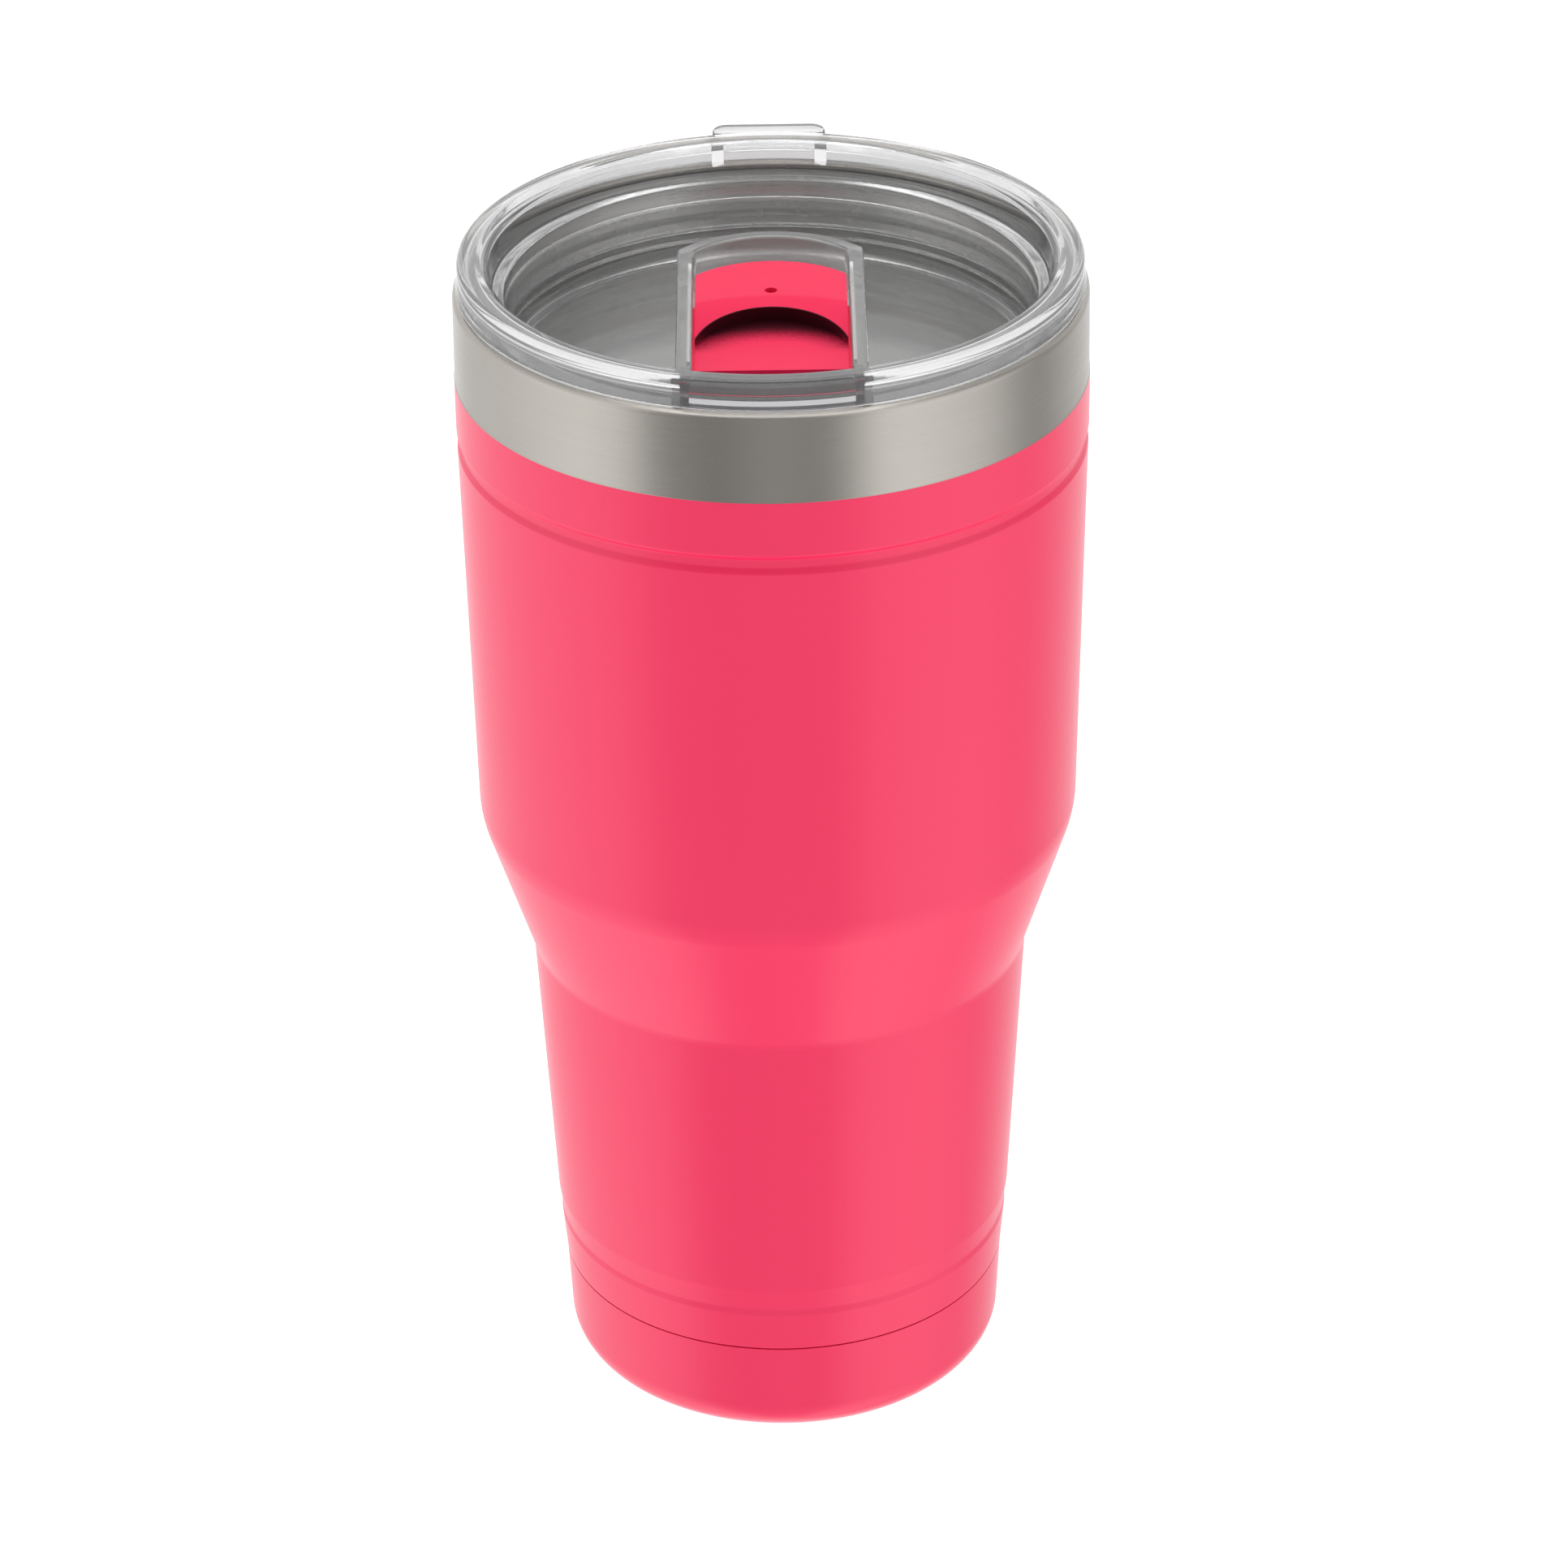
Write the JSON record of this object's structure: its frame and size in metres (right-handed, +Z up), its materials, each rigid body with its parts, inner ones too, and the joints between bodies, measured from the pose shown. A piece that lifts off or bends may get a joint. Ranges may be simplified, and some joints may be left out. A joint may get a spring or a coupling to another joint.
{
  "type": "insulated tumbler with lid",
  "caption": "Double-wall vacuum tumbler with a narrow foot and wide mouth, a clear press-in lid with a thumb tab, and a slider that opens the drinking slot.",
  "frame": {"origin": "on the cup's axis, at the surface that it stands on", "axes": "+Z up the cup's axis; -Y is the side that a person drinks from, where the slider closes the slot; +Y is the side of the thumb tab"},
  "size_m": [0.1014, 0.1039, 0.2024],
  "materials": {
    "powder_coat": "satin powder coat over steel, bare brushed steel above the coating line",
    "brushed_steel": "fine circumferential brushing",
    "base_plate": "stamped, satin",
    "solder_glass": "fired bead",
    "bright_foil": "bright foil",
    "getter_alloy": "sintered powder",
    "clear_plastic": "clear moulded copolyester",
    "clear_silicone": "translucent silicone",
    "slider_plastic": "gloss moulded plastic"
  },
  "bodies": {
    "tumbler": {"outer_shell": "powder_coat", "base_cup": "powder_coat", "base_cover": "base_plate", "vacuum_seal": "solder_glass", "inner_liner": "brushed_steel", "liner_floor": "brushed_steel", "reflective_foil": "bright_foil", "getter": "getter_alloy", "getter_clip": "brushed_steel"},
    "lid": {"lid_body": "clear_plastic", "lid_gasket": "clear_silicone"},
    "slider": {"slider": "slider_plastic", "slider_seal": "clear_silicone"}
  },
  "joints": [
    {"name": "lid_lift", "type": "slide", "parent": "tumbler", "child": "lid", "axis": [0, 0, 1], "range_m": [0, 0.045]},
    {"name": "slider_slide", "type": "slide", "parent": "lid", "child": "slider", "axis": [0, 1, 0], "range_m": [0, 0.0085]}
  ]
}
